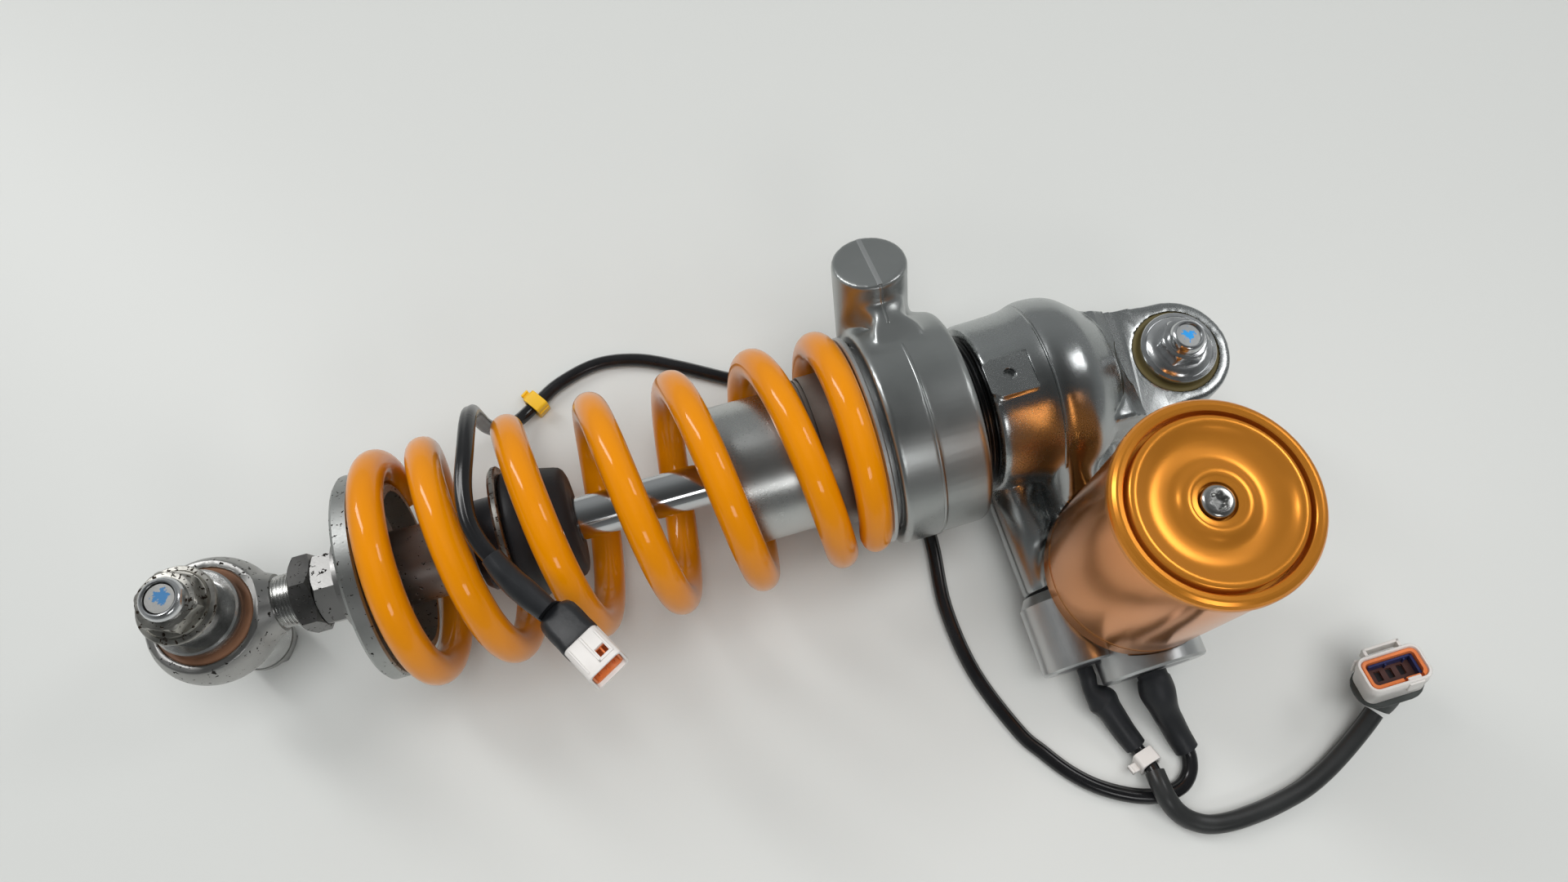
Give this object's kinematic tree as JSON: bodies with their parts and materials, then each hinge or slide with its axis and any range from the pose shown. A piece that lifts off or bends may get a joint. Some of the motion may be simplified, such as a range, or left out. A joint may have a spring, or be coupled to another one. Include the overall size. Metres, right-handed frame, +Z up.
{
  "type": "motorcycle rear shock absorber",
  "caption": "Coil-over rear shock absorber with a spring seat preload ring, a separate gas reservoir, a valve block with electric leads and an eye with a bolt at each end.",
  "frame": {"origin": "centre of the lower eye", "axes": "+X along the damper to the upper eye, +Z up along the mount bolts as the shock lies on a bench, +Y away from the reservoir"},
  "size_m": [0.3849, 0.2227, 0.1101],
  "materials": {
    "cast_grey": "satin cast",
    "eye_grey": "satin with dark pits",
    "machined": "brushed",
    "inner_alloy": "turned",
    "bright_steel": "turned, bright",
    "dull_steel": "dull, worn",
    "chrome_rod": "polished",
    "seat_grey": "hard anodised, pitted",
    "sleeve_brown": "rough anodised",
    "tube_satin": "satin",
    "spring_orange": "gloss powder coat",
    "copper_anodised": "gloss anodised",
    "gold_anodised": "satin anodised",
    "black_steel": "matt black",
    "black_rubber": "matt",
    "bump_foam": "matt",
    "seal_rust": "worn",
    "seal_olive": "worn",
    "bronze": "plain bearing",
    "valve_black": "matt",
    "boot_black": "heat-shrunk",
    "lead_black": "gloss",
    "white_plastic": "moulded",
    "yellow_plastic": "moulded",
    "grey_rubber": "moulded",
    "orange_seal": "moulded"
  },
  "bodies": {
    "damper": {"damper_tube": "tube_satin", "inner_tube": "inner_alloy", "seal_head": "inner_alloy", "seal_head_o_ring": "black_rubber", "rod_bush": "bronze", "rod_seal": "black_rubber", "rod_wiper": "black_rubber", "retaining_ring": "dull_steel", "topout_ring": "black_rubber", "coil_spring": "spring_orange", "preload_ring": "cast_grey", "head_casting": "cast_grey", "upper_bearing": "bronze", "upper_eye_seals": "seal_olive", "valve_block": "machined", "compression_valve": "valve_black", "rebound_valve": "valve_black", "valve_o_rings": "black_rubber", "reservoir_body": "copper_anodised", "reservoir_rim": "gold_anodised", "reservoir_cap": "gold_anodised", "cap_o_ring": "black_rubber", "fill_screw": "bright_steel", "lead_a_boot": "boot_black", "lead_b_boot": "boot_black", "lead_a": "lead_black", "lead_a_clip": "yellow_plastic", "connector_a_boot": "boot_black", "connector_a": "white_plastic", "lead_b": "lead_black", "lead_b_clip": "white_plastic", "lead_b_sheath": "boot_black", "connector_b_boot": "grey_rubber", "connector_b": "white_plastic", "connector_seals": "orange_seal"},
    "rod_assembly": {"piston_rod": "chrome_rod", "damper_piston": "inner_alloy", "piston_band": "black_rubber", "piston_shims": "bright_steel", "piston_nut": "bright_steel", "rod_end": "eye_grey", "rod_collar": "black_steel", "bump_plate": "dull_steel", "bump_rubber": "bump_foam", "lower_spring_seat": "seat_grey", "lower_lock_nut": "dull_steel"},
    "eye": {"lower_eye": "eye_grey", "lower_bearing_race": "dull_steel", "lower_eye_seals": "seal_rust"},
    "ball": {"lower_bearing_ball": "bright_steel"},
    "lower_fixing": {"lower_sleeves": "bright_steel", "lower_bolt": "dull_steel", "lower_nut": "dull_steel"},
    "upper_fixing": {"upper_sleeve": "bright_steel", "upper_bolt": "bright_steel", "upper_nut": "bright_steel"},
    "preload_piston": {"upper_spring_seat": "sleeve_brown", "preload_o_rings": "black_rubber"},
    "gas_piston": {"floating_piston": "inner_alloy", "floating_piston_ring": "black_rubber"}
  },
  "joints": [
    {"name": "stroke", "type": "slide", "parent": "damper", "child": "rod_assembly", "axis": [1, 0, 0], "range_m": [0, 0.056], "stiffness_N_per_m": 90000, "springref_m": -0.002, "deforming": ["coil_spring", "bump_rubber"]},
    {"name": "gas_piston_slide", "type": "slide", "parent": "damper", "child": "gas_piston", "axis": [0, 0, 1], "range_m": [0, 0.0045]},
    {"name": "preload", "type": "slide", "parent": "damper", "child": "preload_piston", "axis": [-1, 0, 0], "range_m": [0, 0.008], "deforming": ["coil_spring"]},
    {"name": "length_adjust", "type": "slide", "parent": "rod_assembly", "child": "eye", "axis": [1, 0, 0], "range_m": [-0.004, 0.003]},
    {"name": "lower_tilt", "type": "hinge", "parent": "eye", "child": "ball", "pos_m": [0, 0, 0], "axis": [1, 0, 0], "range_deg": [-5, 5]},
    {"name": "lower_turn", "type": "hinge", "parent": "ball", "child": "lower_fixing", "pos_m": [0, 0, 0], "axis": [0, 0, 1], "continuous": true},
    {"name": "upper_turn", "type": "hinge", "parent": "damper", "child": "upper_fixing", "pos_m": [0.3165, -0.0026, 0], "axis": [0, 0, 1], "continuous": true}
  ],
  "couplings": [
    {"joint": "gas_piston_slide", "follows": "stroke", "ratio": 0.0772}
  ]
}
